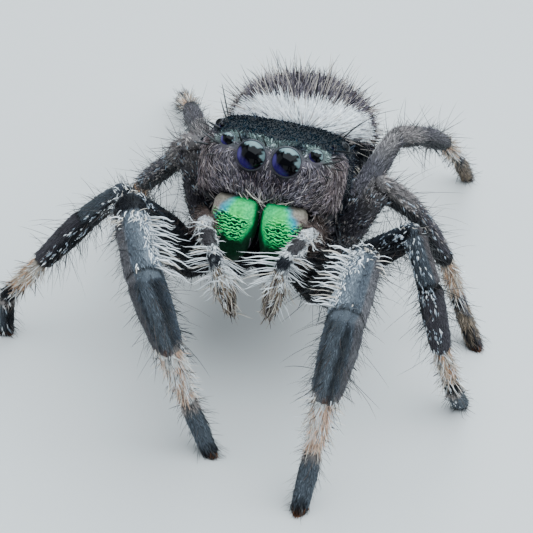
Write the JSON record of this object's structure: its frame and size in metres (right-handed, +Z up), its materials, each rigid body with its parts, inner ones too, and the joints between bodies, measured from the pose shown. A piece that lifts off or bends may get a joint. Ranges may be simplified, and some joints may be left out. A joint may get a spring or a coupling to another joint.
{
  "type": "jumping spider",
  "caption": "Life-size still model of a male jumping spider standing with its head raised: hairy dark body, green jaws, large front eyes, white band on the abdomen.",
  "frame": {"origin": "on the floor under the middle of the whole figure's box, legs included", "axes": "+Z up, -Y the way the spider faces, +X the spider's own left"},
  "size_m": [0.0126, 0.0192, 0.0064],
  "materials": {
    "carapace": "dark shell with short grey-brown hair",
    "abdomen": "black-brown hair with white markings",
    "leg": "charcoal cuticle with grey scales and dark bristles",
    "pale_leg": "cream to orange hair",
    "palp": "pale hair over brown",
    "chelicera": "iridescent metallic green",
    "eye": "polished black lens",
    "bristle": "thin black bristles",
    "white_hair": "white hair",
    "claw": "dark horn"
  },
  "bodies": {
    "root": {"eye_front_middle_left": "eye", "eye_front_side_left": "eye", "eye_small_left": "eye", "eye_rear_left": "eye", "chelicera_left": "chelicera", "eye_front_middle_right": "eye", "eye_front_side_right": "eye", "eye_small_right": "eye", "eye_rear_right": "eye", "chelicera_right": "chelicera", "carapace": "carapace", "sternum": "carapace", "maxilla_left": "carapace", "maxilla_right": "carapace", "pedicel": "carapace", "abdomen": "abdomen", "spinnerets": "abdomen", "palp_left": "palp", "leg_1_left_femur": "leg", "leg_1_left_patella": "leg", "leg_1_left_tibia": "leg", "leg_1_left_metatarsus": "pale_leg", "leg_1_left_tarsus": "leg", "leg_2_left_femur": "leg", "leg_2_left_patella": "leg", "leg_2_left_tibia": "leg", "leg_2_left_metatarsus": "pale_leg", "leg_2_left_tarsus": "leg", "leg_3_left_femur": "leg", "leg_3_left_patella": "leg", "leg_3_left_tibia": "leg", "leg_3_left_metatarsus": "pale_leg", "leg_3_left_tarsus": "leg", "leg_4_left_femur": "leg", "leg_4_left_patella": "leg", "leg_4_left_tibia": "leg", "leg_4_left_metatarsus": "pale_leg", "leg_4_left_tarsus": "leg", "palp_right": "palp", "leg_1_right_femur": "leg", "leg_1_right_patella": "leg", "leg_1_right_tibia": "leg", "leg_1_right_metatarsus": "pale_leg", "leg_1_right_tarsus": "leg", "leg_2_right_femur": "leg", "leg_2_right_patella": "leg", "leg_2_right_tibia": "leg", "leg_2_right_metatarsus": "pale_leg", "leg_2_right_tarsus": "leg", "leg_3_right_femur": "leg", "leg_3_right_patella": "leg", "leg_3_right_tibia": "leg", "leg_3_right_metatarsus": "pale_leg", "leg_3_right_tarsus": "leg", "leg_4_right_femur": "leg", "leg_4_right_patella": "leg", "leg_4_right_tibia": "leg", "leg_4_right_metatarsus": "pale_leg", "leg_4_right_tarsus": "leg"}
  },
  "joints": []
}
